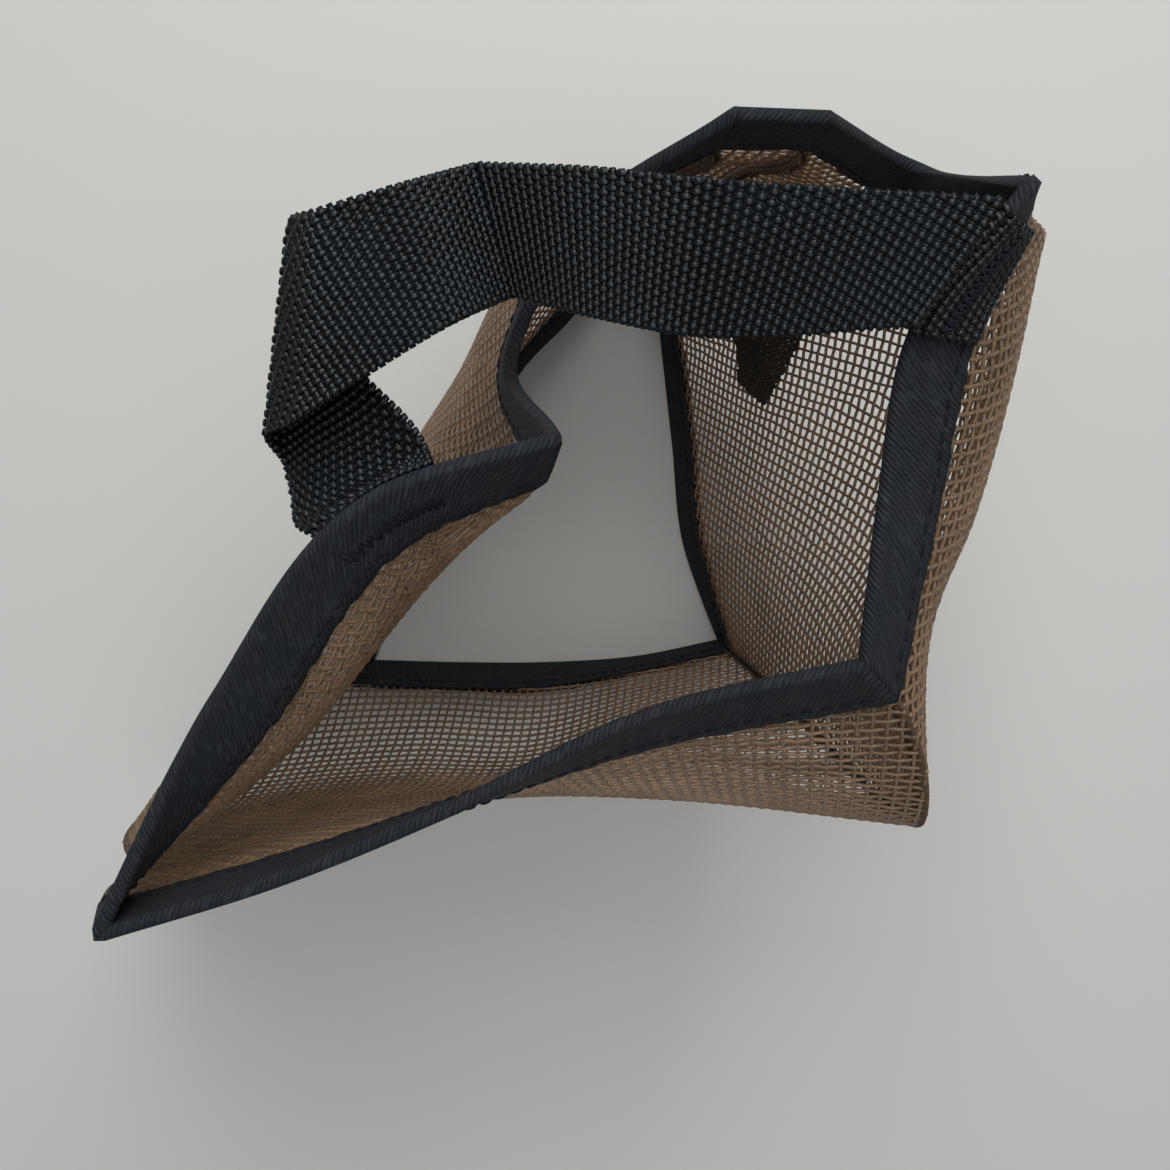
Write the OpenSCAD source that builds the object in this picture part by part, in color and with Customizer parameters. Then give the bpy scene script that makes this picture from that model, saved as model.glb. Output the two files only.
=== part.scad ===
// Fly mask: a sleeve of see-through mesh cloth for a small horse head.
// Its rim and its nose hem are bound with folded tape, and a webbing crown strap goes behind the ears.
// It stands on the nose hem with the poll opening up, slumped to one side as soft cloth does.
// +X is the wearer's right, +Y the forehead side and +Z runs from the nose to the poll.

/* [Mask] */
// Width of the sleeve, from the left corner fold to the bulge of the right cheek
mask_width = 233; // [190:1:300]
// Depth of the sleeve, from the jaw fold to the forehead
mask_depth = 175; // [140:1:230]
// Height of the highest corner of the rim
mask_height = 214; // [170:1:270]

/* [Mesh cloth] */
// Thickness of the mesh cloth
cloth_thick = 0.8; // [0.4:0.1:1.4]
// Share of its square that an opening of the mesh takes each way
open_share = 0.7; // [0.5:0.05:0.8]

/* [Edge tape] */
// Width of the folded tape, from its fold to its sewn edge
tape_width = 12; // [8:0.5:15]
// Thickness of one layer of the tape
tape_thick = 0.7; // [0.4:0.1:1.2]
// Clearance between the tape and the cloth inside its fold
tape_clear = 0.35; // [0.15:0.05:0.5]

/* [Seams] */
// Diameter of the sewn cord that joins two panels
seam_dia = 1.6; // [1:0.1:2.4]
// Clearance between the seam cord and the cloth edges beside it
seam_clear = 0.35; // [0.15:0.05:0.5]

/* [Crown strap] */
// Width of the webbing
strap_width = 25; // [18:1:28]
// Thickness of the webbing
strap_thick = 1.6; // [1:0.1:2.4]
// Clearance between the webbing and the stitched tape under it
strap_seat = 0.4; // [0.15:0.05:0.5]
// Slit between a sewn end of the strap and the loop that swings
strap_slit = 0.5; // [0.3:0.05:1]

/* [Stitching] */
// Width of a line of stitches
thread_width = 0.8; // [0.5:0.1:1.2]
// Thickness of the thread
thread_thick = 0.4; // [0.2:0.05:0.8]
// Clearance between the thread and what it lies on
thread_clear = 0.2; // [0.1:0.05:0.4]
// Distance from the sewn edge of the tape to its line of stitches
thread_inset = 2.5; // [1.5:0.25:4]
// Diameter of the knot at the right poll corner
knot_dia = 2; // [1:0.25:3]
// Number of stitches across each end of the strap
strap_stitches = 10; // [6:1:14]

/* [Eye darts] */
// Thickness of the folded mesh of a dart
dart_thick = 1.2; // [0.6:0.1:2]
// Clearance between a dart and the panel that it is sewn into
dart_clear = 0.7; // [0.4:0.05:0.9]
// Distance from the nose edge to the tip of a dart
dart_tip = 61; // [50:1:75]
// Height of a dart where it is widest
dart_spread = 45; // [25:1:60]

/* [Hidden] */

mesh_brown = "#6b5444";
tape_black = "#1c2026";
webbing_black = "#17191c";
thread_blue = "#252a3a";

// The size and the middle of the profiles as they are drawn below
drawn_size = [233, 175, 213];
drawn_middle = [-0.92, -3.81];
drawn_strap_width = 25;
// The hem tape goes under the cloth, so the cloth starts this far above the surface
hem_lift = tape_clear + tape_thick;
stretch = [
    mask_width / drawn_size.x,
    mask_depth / drawn_size.y,
    (mask_height - hem_lift) / drawn_size.z
];
function placed(p) = [
    (p.x - drawn_middle.x) * stretch.x,
    (p.y - drawn_middle.y) * stretch.y,
    p.z * stretch.z + hem_lift
];

// Profiles of the sleeve: nose edge, lower fold, girth, sewn edge of the rim tape, rim edge
left_corner = [[-57, -50, 0], [-117, -91, 41], [-90, -86, 119], [-74, -77, 174], [-70, -78, 185]];
jaw_left = [[-27, -51, 0], [-36, -75.5, 39], [-38, -72, 119], [-36, -66, 175], [-36, -67, 187]];
jaw_middle = [[3, -51, 0], [2, -73, 39], [0, -66, 124], [-3, -55, 177], [-3, -53, 189]];
jaw_right = [[33, -49, 0], [36, -60, 44], [38, -64.5, 134], [33, -43, 181], [32, -36, 191]];
right_corner = [[63, -43, 0], [73, -51, 47], [93, -67, 147], [76, -32, 191], [70, -26, 197]];
right_jowl = [[56.5, -26.5, 0], [71, -29.5, 47], [87, -34, 132], [79.5, -15, 191.5], [71.5, -11.5, 198]];
right_cheek = [[51, -10, 0], [69, -8, 47], [101, -5, 141], [84, 3, 193], [73, 3, 199]];
right_temple = [[47, 25, 0], [68, 27, 47], [110.5, 36, 144], [88, 31, 201], [77, 32, 207]];
right_poll = [[44, 52, 0], [66, 53, 49], [116, 58, 154], [97, 54, 202], [94, 54, 213]];
right_ear = [[41, 72, 0], [52, 72, 47], [72, 71, 109], [83, 69, 154], [86, 71, 165]];
right_brow = [[35, 84, 0], [41, 84, 47], [56, 80, 134], [63, 71, 179], [65, 72, 191]];
left_brow = [[21, 84, 0], [26, 83, 47], [38, 79, 134], [46, 71.5, 179], [48, 73, 190]];
left_ear_front = [[12, 70, 0], [6, 74, 44], [2, 66, 99], [15, 58, 159], [18, 57, 170]];
left_ear_back = [[-5, 52, 0], [-12, 52, 44], [-12, 42, 94], [4, 35, 157], [6, 34, 168]];
left_poll = [[-24, 20, 0], [-38, 14, 45], [-20, 16, 109], [14, 8.5, 198], [16, 13, 204]];
left_temple = [[-40, -8, 0], [-64.5, -10, 44], [-28, -14, 129], [-8.5, -3, 201], [-14, 3, 209]];
left_cheek = [[-51, -33, 0], [-84, -43, 44], [-54, -39, 119], [-37.5, -38, 190], [-44, -32, 197]];

// The strap off the tape: pairs of its forehead edge and its jaw edge, from right to left
strap_over_rim = [[88.5, 51, 215], [75, 31, 212.5]];
strap_right_fold = [[88, 51.5, 215], [42.3, 29.6, 212.6]];
strap_loop = [
    [[40, 54.5, 214], [38.5, 29.5, 212.3]],
    [[24, 58.7, 205], [24, 33.7, 203.5]],
    [[1, 64, 190], [7.5, 40, 190]],
    [[-13.4, 55.4, 204], [-1.9, 32.6, 204]],
    [[-25, 51, 206], [-28.8, 15.6, 206]],
    [[-30, 50.5, 201], [-34, 14, 201]],
    [[-28.5, 46.8, 195.5], [-32.5, 9.5, 195.5]],
    [[-21, 28.8, 197], [-30.4, 3.3, 197]]
];
strap_left_fold = [[-29, -1, 200.5], [-5.5, 11, 205.5]];

// Places along a panel, counted in profiles from its first one
right_poll_place = 4;
left_poll_place = 3;
right_strap_middle = 3.38;
right_strap_half = 0.42;
left_strap_middle = 3.96;
left_strap_half = 0.32;
right_dart_places = [3.21, 5.8];
left_dart_places = [1.86, 0.2];

// Angles between the panels at the left fold, between their tapes there and at the other corners
fold_angle = 30;
tape_fold_angle = 42;
corner_angle = 85;
brow_angle = 115;

// Steps of the meshes
steps_per_profile = 4;
panel_rows = 10;
strap_steps = 4;
strap_rows = 4;
seam_sides = 6;
dart_steps = 8;
dart_rows = 3;
// Small steps that slopes are measured over, in profiles and in millimetres
slope_u = 0.004;
slope_s = 0.4;

// Distances of the inner and outer face of the folded tape from the middle of the cloth
tape_in = cloth_thick / 2 + tape_clear;
tape_out = tape_in + tape_thick;
// Distance from the middle of the cloth to the outside of the stitches on the tape
thread_out = tape_out + thread_clear + thread_thick;
// Distance from the middle of the cloth to the middle of the webbing sewn to its tape
strap_out = thread_out + strap_seat + strap_thick / 2;

// How far the cloth and the tapes stop short of a corner
seam_cut = seam_dia / 2 + seam_clear;
fold_cut = (cloth_thick + 2 * seam_clear) / sin(fold_angle);
corner_gap = max(seam_cut, tape_out / tan(corner_angle / 2)) + seam_clear;
brow_gap = max(seam_cut, tape_out / tan(brow_angle / 2)) + seam_clear;
fold_gap = (tape_out * (1 + cos(tape_fold_angle)) + 2 * seam_clear) / sin(tape_fold_angle);
poll_gap = tape_out + 2 * seam_clear;
poll_ease = cloth_thick / 2 + seam_clear;

function unit(v) = v / norm(v);
function mixed(a, b, t) = a * (1 - t) + b * t;
function spread(a, b, n) = [for (i = [0 : n]) mixed(a, b, i / n)];
function lengths(p) = [for (i = [0 : len(p) - 2]) norm(p[i + 1] - p[i])];
function running(d) = [for (i = 0, s = 0; i <= len(d); s = s + (i < len(d) ? d[i] : 0), i = i + 1) s];

// Smooth curve through points, straight at its ends and broken at the listed corners
function chord(p, d, i) = (p[i + 1] - p[i]) / d[i];
function breaks(k, n, corners) = k == 0 || k == n - 1 || len([for (c = corners) if (c == k) c]) > 0;
function tangent(p, d, k, after, corners) =
    breaks(k, len(p), corners)
        ? chord(p, d, after ? k : k - 1)
        : (chord(p, d, k - 1) * d[k] + chord(p, d, k) * d[k - 1]) / (d[k - 1] + d[k]);
function curve(p, d, i, t, corners) =
    let (
        start = tangent(p, d, i, true, corners) * d[i],
        end = tangent(p, d, i + 1, false, corners) * d[i]
    )
    p[i] * (2 * t ^ 3 - 3 * t ^ 2 + 1) + start * (t ^ 3 - 2 * t ^ 2 + t)
        + p[i + 1] * (3 * t ^ 2 - 2 * t ^ 3) + end * (t ^ 3 - t ^ 2);
function at(p, u, corners) =
    let (i = min(max(floor(u), 0), len(p) - 2))
    curve(p, lengths(p), i, u - i, corners);

// A profile with the lengths of its stretches, their running sum and its whole length
function profile(drawn) =
    let (p = [for (q = drawn) placed(q)], d = lengths(p), c = running(d))
    [p, d, c, c[len(c) - 1]];
function stretch_of(c, s, i = 0) = i >= len(c) - 2 || s < c[i + 1] ? i : stretch_of(c, s, i + 1);
function along(q, s) =
    let (i = stretch_of(q[2], s))
    curve(q[0], q[1], i, (s - q[2][i]) / q[1][i], []);

// A panel: its profiles, its poll corner if it has one, and its cloth cuts and tape gaps at both ends
function panel(drawn, corners, cuts, gaps) = [[for (q = drawn) profile(q)], corners, cuts, gaps];
jaw = panel(
    [left_corner, jaw_left, jaw_middle, jaw_right, right_corner],
    [], [seam_cut, seam_cut], [corner_gap, corner_gap]
);
right_side = panel(
    [right_corner, right_jowl, right_cheek, right_temple, right_poll, right_ear, right_brow],
    [right_poll_place], [seam_cut, seam_cut], [corner_gap, brow_gap]
);
forehead = panel([right_brow, left_brow], [], [seam_cut, seam_cut], [brow_gap, brow_gap]);
left_side = panel(
    [left_brow, left_ear_front, left_ear_back, left_poll, left_temple, left_cheek, left_corner],
    [left_poll_place], [seam_cut, fold_cut], [brow_gap, fold_gap]
);

// A line across a panel: a share of each profile's length plus a distance, both from the nose edge
function line(sheet, share, s) = [for (q = sheet[0]) along(q, share * q[3] + s)];
// Points of that line at the places us, moved out of the cloth by the distance out
function offset_line(sheet, share, s, out, us) =
    let (
        here = line(sheet, share, s),
        below = line(sheet, share, s - slope_s),
        above = line(sheet, share, s + slope_s),
        k = sheet[1]
    )
    [for (u = us)
        at(here, u, k) + out * unit(cross(
            at(here, u + slope_u, k) - at(here, u - slope_u, k),
            at(above, u, k) - at(below, u, k)))];

// The step in place that covers a distance in a stretch of a panel, at its nose edge and its rim
function place_step(sheet, i, distance) =
    let (a = line(sheet, 0, 0), b = line(sheet, 1, 0))
    distance / min(norm(a[i + 1] - a[i]), norm(b[i + 1] - b[i]));
// An even number of steps, because an opening of the mesh takes two
function place_run(a, b) = spread(a, b, 2 * max(1, round((b - a) * steps_per_profile / 2)));
// Places of the tapes on a panel: one run, or two that stop short of the poll corner
function tape_runs(sheet) =
    let (
        n = len(sheet[0]) - 1,
        first = place_step(sheet, 0, sheet[3][0]),
        last = n - place_step(sheet, n - 1, sheet[3][1]),
        c = sheet[1][0]
    )
    is_undef(c)
        ? [place_run(first, last)]
        : [place_run(first, c - place_step(sheet, c - 1, poll_gap)),
            place_run(c + place_step(sheet, c, poll_gap), last)];
// The same places and, between two runs, those on either side of the poll corner
function hem_places(sheet) =
    let (runs = tape_runs(sheet), c = sheet[1][0])
    is_undef(c)
        ? runs[0]
        : concat(runs[0],
            [c - place_step(sheet, c - 1, poll_ease), c + place_step(sheet, c, poll_ease)],
            runs[1]);
function cloth_places(sheet) =
    let (n = len(sheet[0]) - 1)
    concat([place_step(sheet, 0, sheet[2][0])], hem_places(sheet),
        [n - place_step(sheet, n - 1, sheet[2][1])]);

// Rows of a tape as distances from the edge: its sewn edge, both sides of its stitches and the edge
thread_middle = tape_width - thread_inset;
tape_rows = [tape_width, thread_middle + thread_width / 2, thread_middle - thread_width / 2, 0];
// Rows of a panel as shares and distances, with those of the tapes at both edges among them
cloth_rows = concat(
    [for (k = [3 : -1 : 1]) [0, tape_rows[k]]],
    [for (i = [0 : panel_rows]) [i / panel_rows, tape_width * (1 - 2 * i / panel_rows)]],
    [for (k = [1 : 3]) [1, -tape_rows[k]]]
);

// Closed skin between an outer and an inner sheet of points, both given in rows
// The squares after the listed rows are split along their other diagonal
// An opening goes through two squares, and is listed as the row and the column of the first
module skin(outer, inner, turned_rows = [], openings = []) {
    rows = len(outer);
    cols = len(outer[0]);
    half = rows * cols;
    function id(j, i) = j * cols + i;
    function open(j, i) = len([for (o = openings) if (o == [j, i] || o == [j, i - 1]) o]) > 0;
    // The corners round two squares, and the corners of the opening in them, as grid steps
    rim_steps = [[0, 0], [0, 1], [0, 2], [1, 2], [1, 1], [1, 0]];
    rim_count = len(rim_steps);
    margin = (1 - open_share) / 2;
    hole_steps = [for (s = rim_steps)
        [mixed(margin, 1 - margin, s[0]), 2 * mixed(margin, 1 - margin, s[1] / 2)]];
    function between(sheet, j, i, s) =
        let (k = i + min(floor(s[1]), 1), t = s[1] - k + i)
        mixed(mixed(sheet[j][k], sheet[j][k + 1], t), mixed(sheet[j + 1][k], sheet[j + 1][k + 1], t), s[0]);
    function hole_points(sheet) = [for (o = openings, s = hole_steps) between(sheet, o[0], o[1], s)];
    holes = 2 * half;
    hole_half = len(openings) * rim_count;
    function rim(o, k) = id(o[0] + rim_steps[k % rim_count][0], o[1] + rim_steps[k % rim_count][1]);
    function hole(n, k) = holes + n * rim_count + k % rim_count;
    function ring(o, n) = [for (k = [0 : rim_count - 1])
        each [[rim(o, k), hole(n, k), hole(n, k + 1)], [rim(o, k), hole(n, k + 1), rim(o, k + 1)]]];
    function inner_id(a) = a < holes ? a + half : a + hole_half;
    function wall(n) = [for (k = [0 : rim_count - 1])
        let (a = hole(n, k), b = hole(n, k + 1))
        each [[b, a, inner_id(a)], [b, inner_id(a), inner_id(b)]]];
    function turned(j) = len([for (k = turned_rows) if (k == j) k]) > 0;
    function front(a, b, c, d, turn = false) = turn ? [[a, c, b], [b, c, d]] : [[a, c, d], [a, d, b]];
    function back(a, b, c, d, turn) = [for (f = front(a, b, c, d, turn)) [f[0], f[2], f[1]]];
    polyhedron(
        points = concat(
            [for (r = outer) each r], [for (r = inner) each r], hole_points(outer), hole_points(inner)
        ),
        faces = concat(
            [for (j = [0 : rows - 2], i = [0 : cols - 2])
                if (!open(j, i))
                    each front(id(j, i), id(j, i + 1), id(j + 1, i), id(j + 1, i + 1), turned(j))],
            [for (j = [0 : rows - 2], i = [0 : cols - 2], k = [half + id(j, i)])
                if (!open(j, i)) each back(k, k + 1, k + cols, k + cols + 1, turned(j))],
            [for (n = [0 : 1 : len(openings) - 1]) each ring(openings[n], n)],
            [for (n = [0 : 1 : len(openings) - 1], f = ring(openings[n], n))
                [inner_id(f[0]), inner_id(f[2]), inner_id(f[1])]],
            [for (n = [0 : 1 : len(openings) - 1]) each wall(n)],
            [for (i = [0 : cols - 2])
                each front(half + id(0, i), half + id(0, i + 1), id(0, i), id(0, i + 1))],
            [for (i = [0 : cols - 2], j = [rows - 1])
                each front(id(j, i), id(j, i + 1), half + id(j, i), half + id(j, i + 1))],
            [for (j = [0 : rows - 2])
                each front(half + id(j, 0), id(j, 0), half + id(j + 1, 0), id(j + 1, 0))],
            [for (j = [0 : rows - 2], i = [cols - 1])
                each front(id(j, i), half + id(j, i), id(j + 1, i), half + id(j + 1, i))]
        ),
        convexity = 10
    );
}

// Round cord along a path
module cord(path, dia, sides) {
    n = len(path);
    function way(i) = unit(path[min(i + 1, n - 1)] - path[max(i - 1, 0)]);
    function ring(i) =
        let (a = unit(cross(way(i), [1, 1, 0])), b = cross(way(i), a))
        [for (k = [0 : sides - 1])
            path[i] + dia / 2 * (a * cos(360 * k / sides) + b * sin(360 * k / sides))];
    function id(i, k) = i * sides + k % sides;
    polyhedron(
        points = concat([for (i = [0 : n - 1]) each ring(i)], [path[0], path[n - 1]]),
        faces = concat(
            [for (i = [0 : n - 2], k = [0 : sides - 1])
                let (a = id(i, k), b = id(i, k + 1), c = id(i + 1, k), d = id(i + 1, k + 1))
                each [[a, c, d], [a, d, b]]],
            [for (k = [0 : sides - 1]) [n * sides, id(0, k), id(0, k + 1)]],
            [for (k = [0 : sides - 1]) [n * sides + 1, id(n - 1, k + 1), id(n - 1, k)]]
        ),
        convexity = 10
    );
}

// Mesh panel, cut back at both side seams to leave room for the seam cords
// A coarse grid of openings between its tapes stands for its fine ones
module panel_cloth(sheet) {
    us = cloth_places(sheet);
    runs = tape_runs(sheet);
    first_row = len(tape_rows) - 1;
    first_columns = [1, 1 + len(runs[0]) + 2];
    openings = [for (k = [0 : len(runs) - 1], i = [0 : 2 : len(runs[k]) - 3], j = [0 : panel_rows - 1])
        [first_row + j, first_columns[k] + i]];
    function face(out) = [for (r = cloth_rows) offset_line(sheet, r[0], r[1], out, us)];
    color(mesh_brown) skin(face(cloth_thick / 2), face(-cloth_thick / 2), [], openings);
}

// Cross-section of the folded tape: distance from the cloth edge and distance out of the cloth
function tape_section(out, reach) =
    let (shoulder_reach = 0.75 * reach, shoulder_out = 0.7 * out)
    concat(
        [for (d = tape_rows) [d, out]],
        [[-shoulder_reach, shoulder_out], [-reach, 0], [-shoulder_reach, -shoulder_out]],
        [for (k = [3 : -1 : 0]) [tape_rows[k], -out]]
    );
outer_section = tape_section(tape_out, hem_lift);
// The fold leaves more room at the cloth's edge than the legs do at its faces
inner_section = tape_section(tape_in, hem_lift / 2);
// Rows of a section on its first and on its last leg
first_leg = [0 : 2];
last_leg = [7 : 9];

// Tape folded over the rim of a panel, along one of its runs
module rim_tape(sheet, run) {
    us = tape_runs(sheet)[run];
    color(tape_black)
        skin(
            [for (q = outer_section) offset_line(sheet, 1, -q[0], q[1], us)],
            [for (q = inner_section) offset_line(sheet, 1, -q[0], q[1], us)],
            last_leg
        );
}

// Tape folded under the nose edge of a panel, flat on the surface that the mask stands on
module nose_tape(sheet) {
    us = hem_places(sheet);
    function grounded(row) = [for (p = row) [p.x, p.y, 0]];
    color(tape_black)
        skin(
            [for (q = outer_section)
                let (row = offset_line(sheet, 0, q[0], -q[1], us))
                q[0] < 0 ? grounded(row) : row],
            [for (q = inner_section) offset_line(sheet, 0, q[0], -q[1], us)],
            first_leg
        );
}

// Points at a distance from the edge, on the flat stretches between the rows of the tape
function tape_line(sheet, share, distance, out, us) =
    let (
        way = share == 1 ? -1 : 1,
        k = distance > tape_rows[1] ? 0 : distance > tape_rows[2] ? 1 : 2,
        a = offset_line(sheet, share, way * tape_rows[k], out, us),
        b = offset_line(sheet, share, way * tape_rows[k + 1], out, us),
        t = (tape_rows[k] - distance) / (tape_rows[k] - tape_rows[k + 1])
    )
    [for (i = [0 : len(us) - 1]) mixed(a[i], b[i], t)];

// Line of stitches along both faces of a tape, share 1 at the rim and 0 at the nose
module tape_thread(sheet, tape_places, share) {
    us = [for (i = [1 : len(tape_places) - 2]) tape_places[i]];
    rows = share == 1 ? [-tape_rows[1], -tape_rows[2]] : [tape_rows[2], tape_rows[1]];
    for (face = [[thread_out, thread_out - thread_thick], [thread_thick - thread_out, -thread_out]])
        skin(
            [for (d = rows) offset_line(sheet, share, d, face[0], us)],
            [for (d = rows) offset_line(sheet, share, d, face[1], us)]
        );
}

// Sewn cord down a seam between two panels
module seam(drawn) {
    q = profile(drawn);
    color(mesh_brown)
        cord([for (r = cloth_rows) along(q, r[0] * q[3] + r[1])], seam_dia, seam_sides);
}

// Triangular flap of folded mesh inside a cheek, from its tip to the brow seam
module eye_dart(sheet, dart_places) {
    // Its reach below and above the line of its tip, in shares of its spread, by depth from the tip
    tip_share = 0.025;
    under = [[0, tip_share], [0.125, 0.29], [0.25, 0.235], [1, 0.265]];
    over = [[0, tip_share], [0.125, 0.255], [0.25, 0.445], [1, 0.735]];
    us = spread(min(dart_places), max(dart_places), dart_steps);
    function depth(u) = (u - dart_places[0]) / (dart_places[1] - dart_places[0]);
    function height(u, j) =
        dart_tip + dart_spread * mixed(-lookup(depth(u), under), lookup(depth(u), over), j / dart_rows);
    function flap(out) = [for (j = [0 : dart_rows])
        [for (u = us) offset_line(sheet, 0, height(u, j), out, [u])[0]]];
    face = -cloth_thick / 2 - dart_clear;
    color(mesh_brown) skin(flap(face), flap(face - dart_thick));
}

// Webbing through columns of points across the strap
module webbing(columns) {
    n = len(columns) - 1;
    m = len(columns[0]) - 1;
    function out(i, j) = unit(cross(
        columns[min(i + 1, n)][j] - columns[max(i - 1, 0)][j],
        columns[i][min(j + 1, m)] - columns[i][max(j - 1, 0)]));
    function face(k) = [for (j = [0 : m]) [for (i = [0 : n]) columns[i][j] + k * out(i, j)]];
    color(webbing_black) skin(face(strap_thick / 2), face(-strap_thick / 2));
}
// A column between a pair of drawn edge points, at the strap's width
function across(pair, rows) =
    let (middle = (pair[0] + pair[1]) / 2, k = strap_width / drawn_strap_width)
    spread(placed(middle + (pair[0] - middle) * k), placed(middle + (pair[1] - middle) * k), rows);
// Columns with steps of a smooth curve between them
function smoothed(columns) =
    let (last = len(columns) - 2)
    [for (i = [0 : last], t = [0 : i == last ? strap_steps : strap_steps - 1])
        [for (j = [0 : strap_rows])
            let (edge = [for (c = columns) c[j]])
            curve(edge, lengths(edge), i, t / strap_steps, [])]];
// Places across a sewn end: those of the tape under it, from the forehead edge to the jaw edge
function sewn_places(run, middle, half) =
    let (k = half * strap_width / drawn_strap_width, margin = k / strap_rows)
    concat([middle + k],
        [for (i = [len(run) - 1 : -1 : 0])
            if (abs(run[i] - middle) < k - margin) run[i]],
        [middle - k]);
function sewn_column(sheet, us, distance) = tape_line(sheet, 1, distance, strap_out, us);
right_sewn_places = sewn_places(tape_runs(right_side)[0], right_strap_middle, right_strap_half);
left_sewn_places = sewn_places(tape_runs(left_side)[1], left_strap_middle, left_strap_half);
end_margin = 1;
sewn_distances = [tape_width - end_margin, tape_rows[1], tape_rows[2], 0];
// The webbing's column over the fold of the tape
over_fold = hem_lift + strap_seat + strap_thick / 2;
over_fold_out = 0.6 * strap_out;

// A fold line moved away from the sewn end by a distance, square to the line that the loop swings about
fold_way = unit(strap_right_fold[0] - strap_right_fold[1]);
function slit_pair(pair, slit) =
    let (shift = slit * [-fold_way.y, fold_way.x, 0])
    [pair[0] + shift, pair[1] + shift];
left_slit = 2 * strap_slit;
// The loop turns over on its left, so that its forehead edge comes back on the jaw side
function turned_over(pair) = [pair[1], pair[0]];

// Zigzag stitches across a sewn end, between two distances out of the cloth
module end_stitches(sheet, middle, half, near, far) {
    pitch = 2 * half / strap_stitches;
    lean = 0.28 * pitch;
    wide = 0.16 * pitch;
    fold_margin = 2.5;
    rows = [tape_width - thread_inset - 1.5 * thread_width, fold_margin];
    function place(k, j) = middle - half + (k + 0.5) * pitch + ((k + j) % 2 == 0 ? -lean : lean);
    function row(k, j, out) =
        tape_line(sheet, 1, rows[j], out, [place(k, j) - wide, place(k, j) + wide]);
    color(thread_blue)
        for (k = [0 : strap_stitches - 1])
            skin([for (j = [0, 1]) row(k, j, far)], [for (j = [0, 1]) row(k, j, near)]);
}

module jaw_panel() {
    panel_cloth(jaw);
}
module right_cheek_panel() {
    panel_cloth(right_side);
}
module forehead_panel() {
    panel_cloth(forehead);
}
module left_cheek_panel() {
    panel_cloth(left_side);
}
module right_eye_dart() {
    eye_dart(right_side, right_dart_places);
}
module left_eye_dart() {
    eye_dart(left_side, left_dart_places);
}
module jaw_rim_tape() {
    rim_tape(jaw, 0);
}
module right_cheek_rim_tape() {
    rim_tape(right_side, 0);
}
module right_ear_tape() {
    rim_tape(right_side, 1);
}
module forehead_tape() {
    rim_tape(forehead, 0);
}
module left_ear_tape() {
    rim_tape(left_side, 0);
}
module left_cheek_rim_tape() {
    rim_tape(left_side, 1);
}
module jaw_nose_tape() {
    nose_tape(jaw);
}
module right_nose_tape() {
    nose_tape(right_side);
}
module front_nose_tape() {
    nose_tape(forehead);
}
module left_nose_tape() {
    nose_tape(left_side);
}
module right_corner_seam() {
    seam(right_corner);
}
module left_corner_seam() {
    seam(left_corner);
}
module right_front_seam() {
    seam(right_brow);
}
module left_front_seam() {
    seam(left_brow);
}
module rim_tape_thread() {
    color(thread_blue)
        for (sheet = [jaw, right_side, forehead, left_side], run = tape_runs(sheet))
            tape_thread(sheet, run, 1);
}
module nose_tape_thread() {
    color(thread_blue)
        for (sheet = [jaw, right_side, forehead, left_side])
            tape_thread(sheet, hem_places(sheet), 0);
}
module thread_knot() {
    seat = tape_out + thread_clear + knot_dia / 2;
    ear_start = tape_runs(right_side)[1][0];
    color(thread_blue)
        translate(offset_line(right_side, 1, -tape_width / 2, seat, [ear_start])[0])
            sphere(d = knot_dia, $fn = 24);
}
module strap_right_end() {
    rows = len(right_sewn_places) - 1;
    webbing(concat(
        [for (d = sewn_distances) sewn_column(right_side, right_sewn_places, d)],
        [offset_line(right_side, 1, over_fold, over_fold_out, right_sewn_places)],
        [across(strap_over_rim, rows), across(strap_right_fold, rows)]
    ));
}
module crown_strap() {
    webbing(smoothed(concat(
        [across(slit_pair(strap_right_fold, strap_slit), strap_rows)],
        [for (pair = strap_loop) across(pair, strap_rows)],
        [across(slit_pair(turned_over(strap_left_fold), left_slit), strap_rows)]
    )));
}
module strap_left_end() {
    rows = len(left_sewn_places) - 1;
    webbing(concat(
        [across(strap_left_fold, rows)],
        [for (i = [len(sewn_distances) - 1 : -1 : 0])
            sewn_column(left_side, left_sewn_places, sewn_distances[i])]
    ));
}
module strap_right_stitches() {
    near = strap_out + strap_thick / 2 + thread_clear;
    end_stitches(right_side, right_strap_middle, right_strap_half, near, near + thread_thick);
}
module strap_left_stitches() {
    near = tape_out + thread_clear;
    end_stitches(left_side, left_strap_middle, left_strap_half, -near - thread_thick, -near);
}

jaw_panel();
right_cheek_panel();
forehead_panel();
left_cheek_panel();
right_eye_dart();
left_eye_dart();
jaw_rim_tape();
right_cheek_rim_tape();
right_ear_tape();
forehead_tape();
left_ear_tape();
left_cheek_rim_tape();
jaw_nose_tape();
right_nose_tape();
front_nose_tape();
left_nose_tape();
right_corner_seam();
left_corner_seam();
right_front_seam();
left_front_seam();
rim_tape_thread();
nose_tape_thread();
thread_knot();
strap_right_end();
crown_strap();
strap_left_end();
strap_right_stitches();
strap_left_stitches();
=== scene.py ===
"""Looks of the fly mask: woven mesh panels, folded twill tape, sewn seams and a webbing crown strap.

Lengths are in millimetres until a mesh is made. Places along a panel are counted in profiles.
"""

import math

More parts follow.
